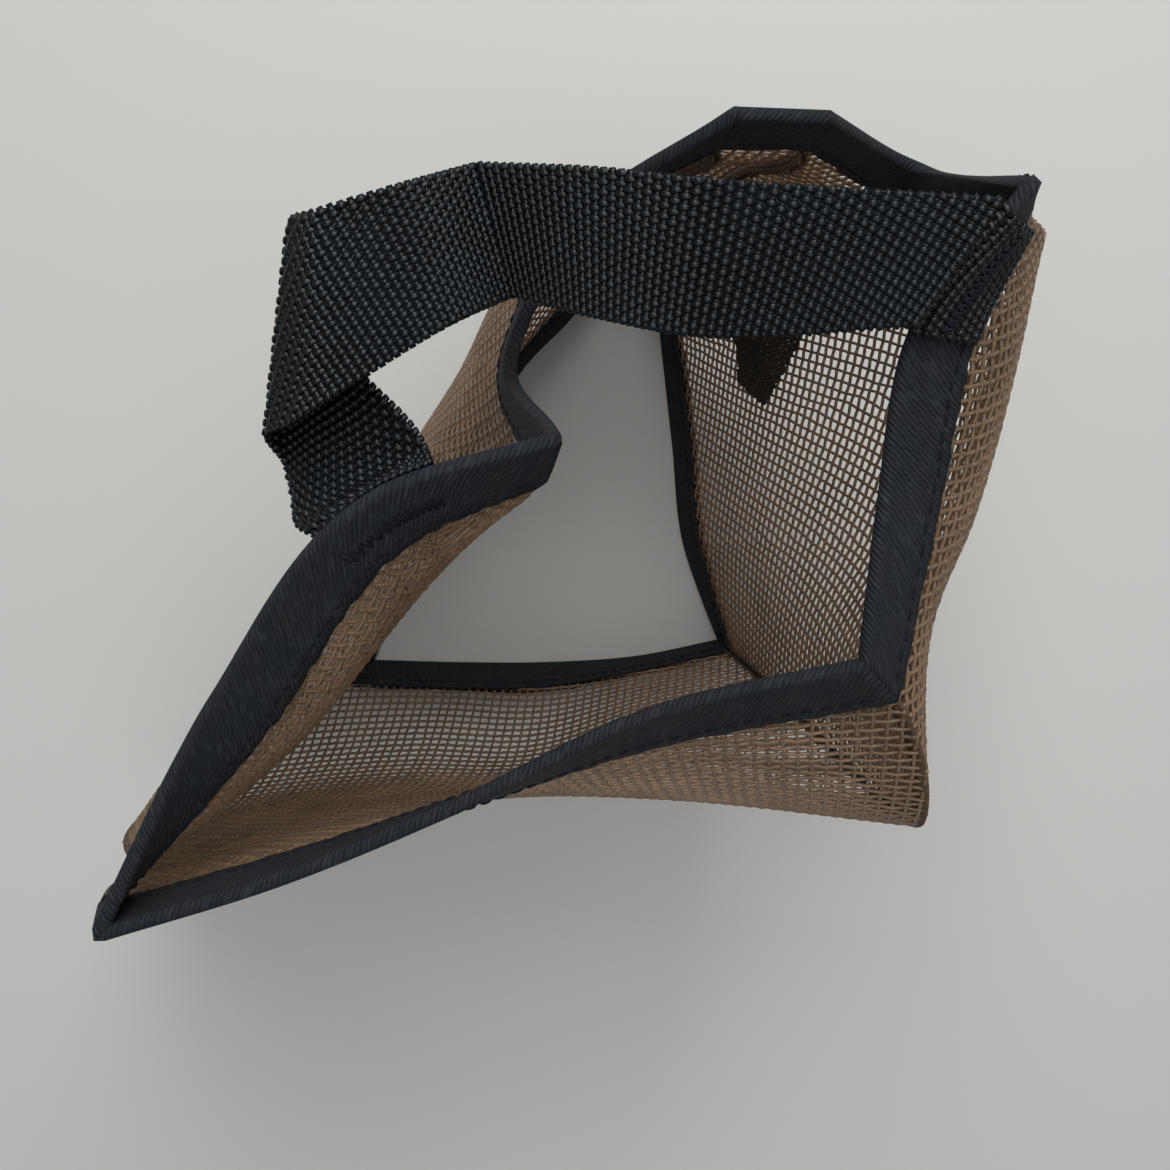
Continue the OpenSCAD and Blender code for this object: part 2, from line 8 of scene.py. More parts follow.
import bpy
import numpy as np
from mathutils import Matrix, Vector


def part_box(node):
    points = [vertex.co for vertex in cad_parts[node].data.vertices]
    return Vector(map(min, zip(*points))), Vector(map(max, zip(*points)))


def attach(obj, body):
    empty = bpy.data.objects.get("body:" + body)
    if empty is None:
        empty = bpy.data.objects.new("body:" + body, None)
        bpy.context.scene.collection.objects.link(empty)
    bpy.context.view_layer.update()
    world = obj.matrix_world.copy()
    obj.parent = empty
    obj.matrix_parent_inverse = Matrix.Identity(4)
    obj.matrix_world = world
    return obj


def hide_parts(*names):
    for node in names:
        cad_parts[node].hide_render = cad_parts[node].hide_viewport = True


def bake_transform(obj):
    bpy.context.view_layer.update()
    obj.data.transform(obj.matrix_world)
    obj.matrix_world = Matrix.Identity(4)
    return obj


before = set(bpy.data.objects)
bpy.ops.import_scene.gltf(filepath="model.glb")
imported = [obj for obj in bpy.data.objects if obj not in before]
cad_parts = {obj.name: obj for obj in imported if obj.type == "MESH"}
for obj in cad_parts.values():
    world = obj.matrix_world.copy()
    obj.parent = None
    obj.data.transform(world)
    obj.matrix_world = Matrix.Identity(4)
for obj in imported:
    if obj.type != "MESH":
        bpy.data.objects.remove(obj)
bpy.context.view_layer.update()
MM = 0.001

# The panels' profiles, as drawn for the solids: nose edge, lower fold, girth, sewn edge, rim edge
DRAWN = {
    "left_corner": [(-57, -50, 0), (-117, -91, 41), (-90, -86, 119), (-74, -77, 174), (-70, -78, 185)],
    "jaw_left": [(-27, -51, 0), (-36, -75.5, 39), (-38, -72, 119), (-36, -66, 175), (-36, -67, 187)],
    "jaw_middle": [(3, -51, 0), (2, -73, 39), (0, -66, 124), (-3, -55, 177), (-3, -53, 189)],
    "jaw_right": [(33, -49, 0), (36, -60, 44), (38, -64.5, 134), (33, -43, 181), (32, -36, 191)],
    "right_corner": [(63, -43, 0), (73, -51, 47), (93, -67, 147), (76, -32, 191), (70, -26, 197)],
    "right_jowl": [
        (56.5, -26.5, 0), (71, -29.5, 47), (87, -34, 132), (79.5, -15, 191.5), (71.5, -11.5, 198)
    ],
    "right_cheek": [(51, -10, 0), (69, -8, 47), (101, -5, 141), (84, 3, 193), (73, 3, 199)],
    "right_temple": [(47, 25, 0), (68, 27, 47), (110.5, 36, 144), (88, 31, 201), (77, 32, 207)],
    "right_poll": [(44, 52, 0), (66, 53, 49), (116, 58, 154), (97, 54, 202), (94, 54, 213)],
    "right_ear": [(41, 72, 0), (52, 72, 47), (72, 71, 109), (83, 69, 154), (86, 71, 165)],
    "right_brow": [(35, 84, 0), (41, 84, 47), (56, 80, 134), (63, 71, 179), (65, 72, 191)],
    "left_brow": [(21, 84, 0), (26, 83, 47), (38, 79, 134), (46, 71.5, 179), (48, 73, 190)],
    "left_ear_front": [(12, 70, 0), (6, 74, 44), (2, 66, 99), (15, 58, 159), (18, 57, 170)],
    "left_ear_back": [(-5, 52, 0), (-12, 52, 44), (-12, 42, 94), (4, 35, 157), (6, 34, 168)],
    "left_poll": [(-24, 20, 0), (-38, 14, 45), (-20, 16, 109), (14, 8.5, 198), (16, 13, 204)],
    "left_temple": [(-40, -8, 0), (-64.5, -10, 44), (-28, -14, 129), (-8.5, -3, 201), (-14, 3, 209)],
    "left_cheek": [(-51, -33, 0), (-84, -43, 44), (-54, -39, 119), (-37.5, -38, 190), (-44, -32, 197)],
}
# The strap off the tape: pairs of its forehead edge and its jaw edge, from right to left
STRAP_OVER_RIM = [(88.5, 51, 215), (75, 31, 212.5)]
STRAP_LOOP = [
    [(40, 54.5, 214), (38.5, 29.5, 212.3)],
    [(24, 58.7, 205), (24, 33.7, 203.5)],
    [(1, 64, 190), (7.5, 40, 190)],
    [(-13.4, 55.4, 204), (-1.9, 32.6, 204)],
    [(-25, 51, 206), (-28.8, 15.6, 206)],
    [(-30, 50.5, 201), (-34, 14, 201)],
    [(-28.5, 46.8, 195.5), (-32.5, 9.5, 195.5)],
    [(-21, 28.8, 197), (-30.4, 3.3, 197)],
]
STRAP_LEFT_FOLD = [(-5.5, 11, 205.5), (-29, -1, 200.5)]

# Where the drawing's middle, floor and height go in the solids
DRAWN_MIDDLE = np.array([-0.92, -3.81, 0])
DRAWN_HEIGHT = 213
MASK_HEIGHT = 214
HEM_LIFT = 1.05
DRAWN_SCALE = np.array([1, 1, (MASK_HEIGHT - HEM_LIFT) / DRAWN_HEIGHT])
RIGHT_POLL_PLACE = 4
LEFT_POLL_PLACE = 3

# The tape's width, its stitches' inset, and distances out of the middle of the cloth
TAPE_WIDTH = 12
STITCH_INSET = 2.5
TAPE_IN = 0.6
TAPE_OUT = 1.4
STITCH_OUT = 1.52
STRAP_OUT = 2.8

# Steps to both sides of a point that give the cloth's normal there: in places and in distance
PROBE_PLACE = 0.004
PROBE_DISTANCE = 0.4

# Sides of the tubes that stand for flat strands and for round threads
STRAND_SIDES = 4
THREAD_SIDES = 6

# Sizes of the three waves that make a line uneven, in shares of their middle size
WAVE_SIZES = (0.62, 1, 1.7)

random = np.random.default_rng(7)


def placed(points):
    """Drawn points in the frame of the solids."""
    return (np.asarray(points, float) - DRAWN_MIDDLE) * DRAWN_SCALE + (0, 0, HEM_LIFT)


def unit(vectors):
    """Vectors along the last axis at length one."""
    return vectors / np.maximum(np.linalg.norm(vectors, axis=-1, keepdims=True), 1e-12)


def lengths(points):
    """Lengths of the stretches between points along the axis before the last."""
    return np.linalg.norm(np.diff(points, axis=-2), axis=-1)


def running(steps):
    """Running sum of steps along the last axis, from zero."""
    return np.concatenate([np.zeros_like(steps[..., :1]), np.cumsum(steps, axis=-1)], axis=-1)


def alike(*values):
    """Values as arrays of numbers with one shape."""
    return np.broadcast_arrays(*(np.asarray(value, float) for value in values))


def curve(points, index, t, corners=()):
    """Smooth curves through points (m, n, 3), at t in the stretch index of each.

    They break at the corners, and start and end along their first and last chords.
    """
    steps = lengths(points)
    slopes = np.diff(points, axis=1) / steps[..., None]
    before = np.concatenate([slopes[:, :1], slopes], axis=1)
    after = np.concatenate([slopes, slopes[:, -1:]], axis=1)
    step_before = np.concatenate([steps[:, :1], steps], axis=1)[..., None]
    step_after = np.concatenate([steps, steps[:, -1:]], axis=1)[..., None]
    smooth = (before * step_after + after * step_before) / (step_before + step_after)
    leaving, arriving = smooth.copy(), smooth.copy()
    for corner in (0, *corners, points.shape[1] - 1):
        leaving[:, corner] = after[:, corner]
        arriving[:, corner] = before[:, corner]
    m = np.arange(len(points))
    step = steps[m, index][:, None]
    t = t[:, None]
    return (
        points[m, index] * (2 * t**3 - 3 * t**2 + 1)
        + leaving[m, index] * step * (t**3 - 2 * t**2 + t)
        + points[m, index + 1] * (3 * t**2 - 2 * t**3)
        + arriving[m, index + 1] * step * (t**3 - t**2)
    )


class Profile:
    """One drawn profile, from the nose edge to the rim edge."""

    def __init__(self, name):
        self.points = placed(DRAWN[name])
        self.ends = running(lengths(self.points))
        self.length = self.ends[-1]

    def along(self, distance):
        """Points at distances from the nose edge."""
        index = np.clip(np.searchsorted(self.ends, distance, side="right") - 1, 0, len(self.ends) - 2)
        t = (distance - self.ends[index]) / np.diff(self.ends)[index]
        points = np.broadcast_to(self.points, (len(distance), *self.points.shape))
        return curve(points, index, t)


class Panel:
    """A mesh panel through profiles, with a poll corner where it has one."""

    def __init__(self, names, corners=()):
        self.profiles = [Profile(name) for name in names]
        self.corners = corners
        self.last = len(names) - 1

    def points(self, place, share, distance):
        """Points at places, a share of each profile's length plus a distance from the nose edge."""
        place, share, distance = alike(place, share, distance)
        shape = place.shape
        place, share, distance = place.ravel(), share.ravel(), distance.ravel()
        line = np.stack([q.along(share * q.length + distance) for q in self.profiles], axis=1)
        index = np.clip(np.floor(place).astype(int), 0, self.last - 1)
        return curve(line, index, place - index, self.corners).reshape(*shape, 3)

    def normals(self, place, share, distance):
        """Outward normals at the same points."""
        ahead = self.points(place + PROBE_PLACE, share, distance)
        behind = self.points(place - PROBE_PLACE, share, distance)
        above = self.points(place, share, distance + PROBE_DISTANCE)
        below = self.points(place, share, distance - PROBE_DISTANCE)
        return unit(np.cross(ahead - behind, above - below))

    def offset(self, place, share, distance, out):
        """Points moved out of the cloth."""
        place, share, distance, out = alike(place, share, distance, out)
        normals = self.normals(place, share, distance)
        return self.points(place, share, distance) + normals * out[..., None]

    def length_at(self, place):
        """Length of the cloth from the nose edge to the rim edge at places."""
        return np.interp(place, np.arange(self.last + 1), [q.length for q in self.profiles])


JAW = Panel(["left_corner", "jaw_left", "jaw_middle", "jaw_right", "right_corner"])
RIGHT_PROFILES = [
    "right_corner", "right_jowl", "right_cheek", "right_temple", "right_poll", "right_ear", "right_brow"
]
RIGHT = Panel(RIGHT_PROFILES, (RIGHT_POLL_PLACE,))
FOREHEAD = Panel(["right_brow", "left_brow"])
LEFT_PROFILES = [
    "left_brow", "left_ear_front", "left_ear_back", "left_poll",
    "left_temple", "left_cheek", "left_corner",
]
LEFT = Panel(LEFT_PROFILES, (LEFT_POLL_PLACE,))


def mesh_object(name, points, quads, uv=None):
    """A smooth mesh of quads in metres, with a texture map in millimetres if uv gives one per point."""
    mesh = bpy.data.meshes.new(name)
    corners = np.asarray(quads, np.int32).ravel()
    mesh.vertices.add(len(points))
    mesh.vertices.foreach_set("co", (np.asarray(points) * MM).astype(np.float32).ravel())
    mesh.loops.add(len(corners))
    mesh.loops.foreach_set("vertex_index", corners)
    mesh.polygons.add(len(corners) // 4)
    mesh.polygons.foreach_set("loop_start", np.arange(0, len(corners), 4, dtype=np.int32))
    mesh.polygons.foreach_set("use_smooth", np.ones(len(corners) // 4, bool))
    if uv is not None:
        layer = mesh.uv_layers.new(name="cloth")
        layer.data.foreach_set("uv", np.asarray(uv)[corners].astype(np.float32).ravel())
    mesh.update(calc_edges=True)
    mesh.validate()
    piece = bpy.data.objects.new(name, mesh)
    bpy.context.scene.collection.objects.link(piece)
    return piece


def shell(outer, inner):
    """Points and quads of a closed shell between two sheets of points (rows, cols, 3)."""
    rows, cols = outer.shape[:2]
    half = rows * cols
    ids = np.arange(half).reshape(rows, cols)

    def sheet(a):
        return np.stack([a[:-1, :-1], a[:-1, 1:], a[1:, 1:], a[1:, :-1]], axis=-1).reshape(-1, 4)

    def border(a, b):
        return np.stack([a[:-1], b[:-1], b[1:], a[1:]], axis=-1)

    quads = [
        sheet(ids),
        sheet(ids + half)[:, ::-1],
        border(ids[0] + half, ids[0])[:, ::-1],
        border(ids[-1], ids[-1] + half)[:, ::-1],
        border(ids[:, 0], ids[:, 0] + half)[:, ::-1],
        border(ids[:, -1] + half, ids[:, -1])[:, ::-1],
    ]
    return np.concatenate([outer.reshape(-1, 3), inner.reshape(-1, 3)]), np.concatenate(quads)


def tubes(centres, normals, first, widths, thicks, sides):
    """Points and quads of closed tubes along runs of centres; first marks the start of each run."""
    count = len(centres)
    number = np.arange(count)
    last = np.append(first[1:], True)
    before = np.where(first, number, number - 1)
    after = np.where(last, number, number + 1)
    tangents = unit(centres[after] - centres[before])
    across = unit(np.cross(tangents, normals))
    up = np.cross(across, tangents)
    angle = 2 * math.pi * (np.arange(sides) + 0.5) / sides
    reach = 1 / math.cos(math.pi / sides)
    widths = np.broadcast_to(widths, count)[:, None, None] * reach / 2
    thicks = np.broadcast_to(thicks, count)[:, None, None] * reach / 2
    rings = (
        centres[:, None]
        + across[:, None] * widths * np.cos(angle)[:, None]
        + up[:, None] * thicks * np.sin(angle)[:, None]
    )
    ids = np.arange(count * sides).reshape(count, sides)
    here, there = ids[~last], ids[~first]
    walls = np.stack([here, np.roll(here, -1, axis=1), np.roll(there, -1, axis=1), there], axis=-1)
    caps = []
    for k in range(sides // 2 - 1):
        strip = [k, k + 1, sides - 2 - k, sides - 1 - k]
        caps += [ids[first][:, strip[::-1]], ids[last][:, strip]]
    return rings.reshape(-1, 3), np.concatenate([walls.reshape(-1, 4), *caps])


def threads(centres, normals, width, thick, sides):
    """Points and quads of tubes along the last but one axis of centres, one for each row before it."""
    shape = centres.shape[:-1]
    first = np.zeros(shape, bool)
    first[..., 0] = True
    widths = np.broadcast_to(width, shape).ravel()
    thicks = np.broadcast_to(thick, shape).ravel()
    return tubes(centres.reshape(-1, 3), normals.reshape(-1, 3), first.ravel(), widths, thicks, sides)


def joined(meshes):
    """One set of points and quads from several."""
    points, quads, start = [], [], 0
    for some_points, some_quads in meshes:
        points.append(some_points)
        quads.append(some_quads + start)
        start += len(some_points)
    return np.concatenate(points), np.concatenate(quads)


def wobble(x, size, seed):
    """Smooth unevenness along x, about one high, with waves of about the given size."""
    phases = np.random.default_rng(seed).uniform(0, 2 * math.pi, len(WAVE_SIZES))
    waves = [np.sin(2 * math.pi * x / (size * k) + p) for k, p in zip(WAVE_SIZES, phases)]
    return sum(waves) / 2


# Mesh panels: a square lattice of woven strands laid on the panel's flat cut
MESH_PITCH = 2.8
STRAND_WIDTH = 0.64
STRAND_THICK = 0.58
STRAND_WAVE = 0.18
STRAND_STRAY = 0.02
STRAND_UNEVEN = 0.03
SHORTEST_STRAND = 3
FLAT_ROWS = 22
FLAT_COLS = 30
FLATTEN_STEPS = 1500
FLATTEN_PULL = 0.25
EDGE_SLACK = 1e-9
# How far strands reach past the seams, and how much cloth is left out under the tapes
FRAY = 0.35
HIDDEN_EDGE = 7
# Number of a profile's point at the girth
GIRTH = 2


def flattened(grid):
    """Lays a grid of points on a plane, by pulling its edges and diagonals to their lengths."""
    middle = grid.shape[1] // 2
    rise = running(lengths(grid[:, middle]))
    along = running(lengths(grid))
    flat = np.stack(alike(along - along[:, middle : middle + 1], rise[:, None]), axis=2)
    links = [
        (np.s_[:, :-1], np.s_[:, 1:]),
        (np.s_[:-1], np.s_[1:]),
        (np.s_[:-1, :-1], np.s_[1:, 1:]),
        (np.s_[:-1, 1:], np.s_[1:, :-1]),
    ]
    spans = [np.linalg.norm(grid[b] - grid[a], axis=2) for a, b in links]
    for _ in range(FLATTEN_STEPS):
        shift = np.zeros_like(flat)
        for (a, b), span in zip(links, spans):
            way = flat[b] - flat[a]
            size = np.linalg.norm(way, axis=2)
            pull = way * (0.5 * (size - span) / size)[..., None]
            shift[a] += pull
            shift[b] -= pull
        flat += FLATTEN_PULL * shift
    return flat


def lattice(panel, angle):
    """Places and shares of lattice nodes half a pitch apart, on the flat cut turned by an angle."""
    narrowest = min(lengths(np.stack([q.points[GIRTH] for q in panel.profiles])))
    over = FRAY / narrowest
    places = np.linspace(-over, panel.last + over, FLAT_COLS)
    shares = np.linspace(0, 1, FLAT_ROWS)
    flat = flattened(panel.points(places[None, :], shares[:, None], 0))
    upright = unit(flat[FLAT_ROWS * 2 // 3, FLAT_COLS // 2] - flat[FLAT_ROWS // 3, FLAT_COLS // 2])
    turn = math.atan2(upright[0], upright[1]) + math.radians(angle)
    turned = np.array([[math.cos(turn), -math.sin(turn)], [math.sin(turn), math.cos(turn)]])
    nodes = flat @ turned.T / (MESH_PITCH / 2)
    low = np.floor(nodes.reshape(-1, 2).min(axis=0)).astype(int)
    high = np.ceil(nodes.reshape(-1, 2).max(axis=0)).astype(int)
    found = np.full((*(high - low + 1), 2), np.nan)
    spots = np.stack(np.meshgrid(places, shares), axis=-1)
    for r in range(FLAT_ROWS - 1):
        for c in range(FLAT_COLS - 1):
            for trio in (((r, c), (r, c + 1), (r + 1, c + 1)), ((r, c), (r + 1, c + 1), (r + 1, c))):
                corner = np.array([nodes[k] for k in trio]) - low
                start = np.floor(corner.min(axis=0)).astype(int)
                stop = np.ceil(corner.max(axis=0)).astype(int) + 1
                i, j = np.mgrid[start[0] : stop[0], start[1] : stop[1]]
                i, j = i.ravel(), j.ravel()
                sides = np.array([corner[1] - corner[0], corner[2] - corner[0]]).T
                weights = np.linalg.solve(sides, np.stack([i, j]) - corner[0][:, None])
                weights = np.stack([1 - weights.sum(axis=0), *weights])
                inside = (weights > -EDGE_SLACK).all(axis=0)
                values = weights.T @ np.array([spots[k] for k in trio])
                found[i[inside], j[inside]] = values[inside]
    return found


def woven(i, j, points, normals):
    """Points and quads of strands along both counts of a lattice, over and under where they cross.

    Strands run on even counts, and the odd counts along them lie between two crossings.
    """
    meshes = []
    for fixed, along in ((i, j), (j, i)):
        lean = 1 if fixed is i else -1
        order = np.lexsort((along, fixed))
        order = order[fixed[order] % 2 == 0]
        f, a = fixed[order], along[order]
        first = np.append(True, (np.diff(f) != 0) | (np.diff(a) != 1))
        run = np.cumsum(first) - 1
        long_enough = np.bincount(run)[run] >= SHORTEST_STRAND
        order, f, a, first = order[long_enough], f[long_enough], a[long_enough], first[long_enough]
        crossing = np.where(a % 2 == 0, lean * np.where((f + a) // 2 % 2 == 0, 1, -1), 0)
        lift = STRAND_WAVE * crossing + random.normal(0, STRAND_STRAY, len(a))
        widths = STRAND_WIDTH * (1 + random.normal(0, STRAND_UNEVEN, len(a)))
        centres = points[order] + normals[order] * lift[:, None]
        meshes.append(tubes(centres, normals[order], first, widths, STRAND_THICK, STRAND_SIDES))
    return joined(meshes)


def net(panel, angle):
    """Points and quads of the woven strands of a panel."""
    found = lattice(panel, angle)
    i, j = np.nonzero(~np.isnan(found[..., 0]))
    place, share = found[i, j].T
    length = panel.length_at(place)
    seen = (share * length > HIDDEN_EDGE) & ((1 - share) * length > HIDDEN_EDGE)
    i, j, place, share = i[seen], j[seen], place[seen], share[seen]
    return woven(i, j, panel.points(place, share, 0), panel.normals(place, share, 0))


def cut(panel):
    """Width, length and area of a panel's flat cut, in metres."""
    places = np.linspace(0, panel.last, FLAT_COLS)
    shares = np.linspace(0, 1, FLAT_ROWS)
    flat = flattened(panel.points(places[None, :], shares[:, None], 0)) * MM
    one, other = flat[1:, 1:] - flat[:-1, :-1], flat[1:, :-1] - flat[:-1, 1:]
    area = np.abs(one[..., 0] * other[..., 1] - one[..., 1] * other[..., 0]).sum() / 2
    return tuple(np.ptp(flat.reshape(-1, 2), axis=0)), float(area)


# Eye darts: doubled mesh inside the cheeks, from a tip to the brow seam
DART_TIP = 61
DART_SPREAD = 45
# Reach below and above the line of the tip, in shares of the spread, by depth from the tip
DART_UNDER = [(0, 0.025), (0.125, 0.29), (0.25, 0.235), (1, 0.265)]
DART_OVER = [(0, 0.025), (0.125, 0.255), (0.25, 0.445), (1, 0.735)]
DART_IN = 1.9
DART_STEP = 0.62
DART_SAMPLES = 40


def dart(panel, tip_place, brow_place):
    """Points and quads of a dart's strands, and the size and area of its unfolded cut in metres."""
    low, high = sorted((tip_place, brow_place))
    reach = lengths(panel.points(np.linspace(low, high, DART_SAMPLES), 0, DART_TIP)).sum()
    lowest = -DART_SPREAD * max(share for _, share in DART_UNDER)
    highest = DART_SPREAD * max(share for _, share in DART_OVER)
    i, j = np.mgrid[0 : round(reach / DART_STEP), 0 : round((highest - lowest) / DART_STEP)]
    i, j = i.ravel(), j.ravel()
    depth = i * DART_STEP / reach
    height = lowest + j * DART_STEP
    under = -DART_SPREAD * np.interp(depth, *zip(*DART_UNDER))
    over = DART_SPREAD * np.interp(depth, *zip(*DART_OVER))
    inside = (height > under) & (height < over)
    i, j, depth, height = i[inside], j[inside], depth[inside], height[inside]
    place = tip_place + (brow_place - tip_place) * depth
    normals = panel.normals(place, 0, DART_TIP + height)
    points, quads = woven(i, j, panel.offset(place, 0, DART_TIP + height, -DART_IN), normals)
    size = (reach * MM, 2 * (highest - lowest) * MM)
    return points, quads, size, 2 * len(i) * (DART_STEP * MM) ** 2


# Sewn seams: a twisted thread in the groove between two panels, and their turned edges inside
SEAMS = {
    "right_corner_seam": (JAW, JAW.last, RIGHT, 0),
    "right_front_seam": (RIGHT, RIGHT.last, FOREHEAD, 0),
    "left_front_seam": (FOREHEAD, FOREHEAD.last, LEFT, 0),
    "left_corner_seam": (LEFT, LEFT.last, JAW, 0),
}
SEAM_STEP = 0.4
SEAM_END = 2
SEAM_TWIST = 3.2
SEAM_SINK = 0.5
SEAM_RADIUS = 0.42
SEAM_PLY = 0.85
# The turned edges: how deep they reach, and their short strands and their long strands
TURNED_EDGE = 2.6
TURNED_TOP = 0.4
TURNED_APART = 0.45
TURNED_STEP = 1.05
TURNED_POINTS = 6
TURNED_UNEVEN = 0.12
TURNED_THICK = 0.6
SHORT_STRAND_WIDTH = 0.8
LONG_STRAND_WIDTH = 0.75
LONG_STRAND_DEPTHS = (1.2, 2.2)


def seam_thread(first, first_place, second, second_place):
    """Points and quads of a seam."""
    length = first.profiles[first_place].length
    distance = np.arange(SEAM_END, length - SEAM_END, SEAM_STEP)
    line = first.points(first_place, 0, distance)
    away = unit(first.normals(first_place, 0, distance) + second.normals(second_place, 0, distance))
    side = unit(np.cross(np.gradient(line, axis=0), away))
    meshes = []
    for phase in (0, math.pi):
        turn = 2 * math.pi * distance / SEAM_TWIST + phase
        around = away * np.cos(turn)[:, None] + side * np.sin(turn)[:, None]
        centres = line - SEAM_SINK * away + SEAM_RADIUS * around
        meshes.append(threads(centres, away, SEAM_PLY, SEAM_PLY, THREAD_SIDES))
    turned = (distance > TAPE_WIDTH) & (distance < length - TAPE_WIDTH - TURNED_EDGE)
    line, away, side = line[turned], away[turned], side[turned]
    rows = np.arange(len(line))[:: round(TURNED_STEP / SEAM_STEP)]
    depths = np.linspace(TURNED_TOP, TURNED_EDGE, TURNED_POINTS)
    for layer in (-TURNED_APART, TURNED_APART):
        uneven = 1 + TURNED_UNEVEN * random.normal(0, 1, (len(rows), 1))
        centres = (
            line[rows][:, None]
            - away[rows][:, None] * (depths[None, :] * uneven)[..., None]
            + side[rows][:, None] * layer * (1 + depths / TURNED_EDGE)[None, :, None]
        )
        normals = np.repeat(side[rows][:, None], TURNED_POINTS, axis=1)
        meshes.append(threads(centres, normals, SHORT_STRAND_WIDTH, TURNED_THICK, STRAND_SIDES))
        for depth in LONG_STRAND_DEPTHS:
            centres = line - away * depth + side * (layer * (1 + depth / TURNED_EDGE))
            meshes.append(threads(centres, side, LONG_STRAND_WIDTH, TURNED_THICK, STRAND_SIDES))
    return joined(meshes)


# Folded tape round the rim and the nose hem, which are at these shares of a profile's length
RIM = 1
NOSE = 0
TAPE_RUNS = {
    RIM: [
        ("jaw_rim_tape", JAW, 0, JAW.last),
        ("right_cheek_rim_tape", RIGHT, 0, RIGHT_POLL_PLACE),
        ("right_ear_tape", RIGHT, RIGHT_POLL_PLACE, RIGHT.last),
        ("forehead_tape", FOREHEAD, 0, FOREHEAD.last),
        ("left_ear_tape", LEFT, 0, LEFT_POLL_PLACE),
        ("left_cheek_rim_tape", LEFT, LEFT_POLL_PLACE, LEFT.last),
    ],
    NOSE: [
        ("jaw_nose_tape", JAW, 0, JAW.last),
        ("right_nose_tape", RIGHT, 0, RIGHT.last),
        ("front_nose_tape", FOREHEAD, 0, FOREHEAD.last),
        ("left_nose_tape", LEFT, 0, LEFT.last),
    ],
}
TAPE_STEP = 1.1
TAPE_LEGS = 8
FOLD_STEPS = 5
FOLD_IN = 0.3
MITRE_MOST = 0.85
LEAST_HEIGHT = 0.02
EDGE_SAMPLES = 400
LEAST_STEPS = 3
# Unevenness of the tape's edges and puckers of its faces: height, wave and shift between the faces
UNEVEN = 0.28
UNEVEN_WAVE = 8
UNEVEN_SHIFT = 3
PUCKER = 0.08
PUCKER_WAVE = 5
PUCKER_SHIFT = 5
# Their first seed on the rim, and the seeds from one tape to the next
RIM_SEED = 40
TAPE_SEEDS = 4


def inward(share):
    """Sign of distances that go from an edge into the cloth."""
    return -1 if share == RIM else 1


def even_places(panel, start, stop, share, step):
    """Places from start to stop about a step apart along an edge, and their distances along it."""
    fine = np.linspace(start, stop, EDGE_SAMPLES)
    run = running(lengths(panel.points(fine, share, 0)))
    distance = np.linspace(0, run[-1], max(LEAST_STEPS, round(run[-1] / step)) + 1)
    return np.interp(distance, run, fine), distance


def tape_section(out, reach):
    """Distances from the cloth edge and out of the cloth, over one leg, the fold and the other leg."""
    leg = np.linspace(TAPE_WIDTH, 0, TAPE_LEGS)
    turn = np.linspace(0, math.pi, FOLD_STEPS + 2)[1:-1]
    distance = np.concatenate([leg, -reach * np.sin(turn), leg[::-1]])
    level = np.concatenate([np.full(TAPE_LEGS, out), out * np.cos(turn), np.full(TAPE_LEGS, -out)])
    return distance, level


def tape_rings(panel, places, run, share, out, reach, seed):
    """Rings of a tape's face at places, with slightly uneven edges."""
    distance, level = tape_section(out, reach)
    sewn = np.clip(distance / TAPE_WIDTH, 0, 1)
    face = np.sign(level) * np.clip(np.abs(level) / out, 0, 1)
    uneven = wobble(run[:, None] + UNEVEN_SHIFT * face[None, :], UNEVEN_WAVE, seed) * sewn[None, :] ** 2
    pucker = wobble(run[:, None] + PUCKER_SHIFT * face[None, :], PUCKER_WAVE, seed + 1) * sewn[None, :]
    distance = distance[None, :] + UNEVEN * uneven
    level = level[None, :] + PUCKER * pucker * np.sign(level)[None, :]
    return panel.offset(places[:, None], share, inward(share) * distance, level)


def mitred(end, start, spine):
    """Rings of two tapes that meet at a corner, brought together on its bisector."""
    a, b = end - spine, start - spine
    cosine = (unit(a) * unit(b)).sum(axis=-1, keepdims=True)
    share = np.minimum(1 / np.maximum(1 + cosine, 1e-3), MITRE_MOST)
    return spine + (a + b) * share


def spine_of(panel, place, share):
    """Points of the cloth under a tape's section at a corner."""
    distance, _ = tape_section(1, 0)
    return panel.points(np.full(len(distance), place), share, inward(share) * distance)


def tapes(share):
    """The tapes of one edge, each with its name, its outer and inner rings and its distances along."""
    made = []
    for number, (name, panel, start, stop) in enumerate(TAPE_RUNS[share]):
        places, run = even_places(panel, start, stop, share, TAPE_STEP)
        seed = RIM_SEED * share + TAPE_SEEDS * number
        rings = [
            tape_rings(panel, places, run, share, TAPE_OUT, HEM_LIFT, seed),
            tape_rings(panel, places, run, share, TAPE_IN, FOLD_IN, seed),
        ]
        spine = spine_of(panel, stop, share)
        made.append({"name": name, "rings": rings, "run": run, "spine": spine})
    for this, following in zip(made, made[1:] + made[:1]):
        for ring, next_ring in zip(this["rings"], following["rings"]):
            corner = mitred(ring[-1], next_ring[0], this["spine"])
            ring[-1] = corner
            next_ring[0] = corner
    if share == NOSE:
        for tape in made:
            for ring in tape["rings"]:
                ring[..., 2] = np.maximum(ring[..., 2], LEAST_HEIGHT)
    return made


def tape_object(tape):
    """One tape as a closed folded strip, with its texture map in millimetres."""
    outer, inner = tape["rings"]
    points, quads = shell(outer, inner)
    across = running(lengths(outer[len(outer) // 2]))
    uv = np.stack(alike(tape["run"][:, None], across[None, :]), axis=-1).reshape(-1, 2)
    return mesh_object(tape["name"] + "_twill", points, quads, np.concatenate([uv, uv]))


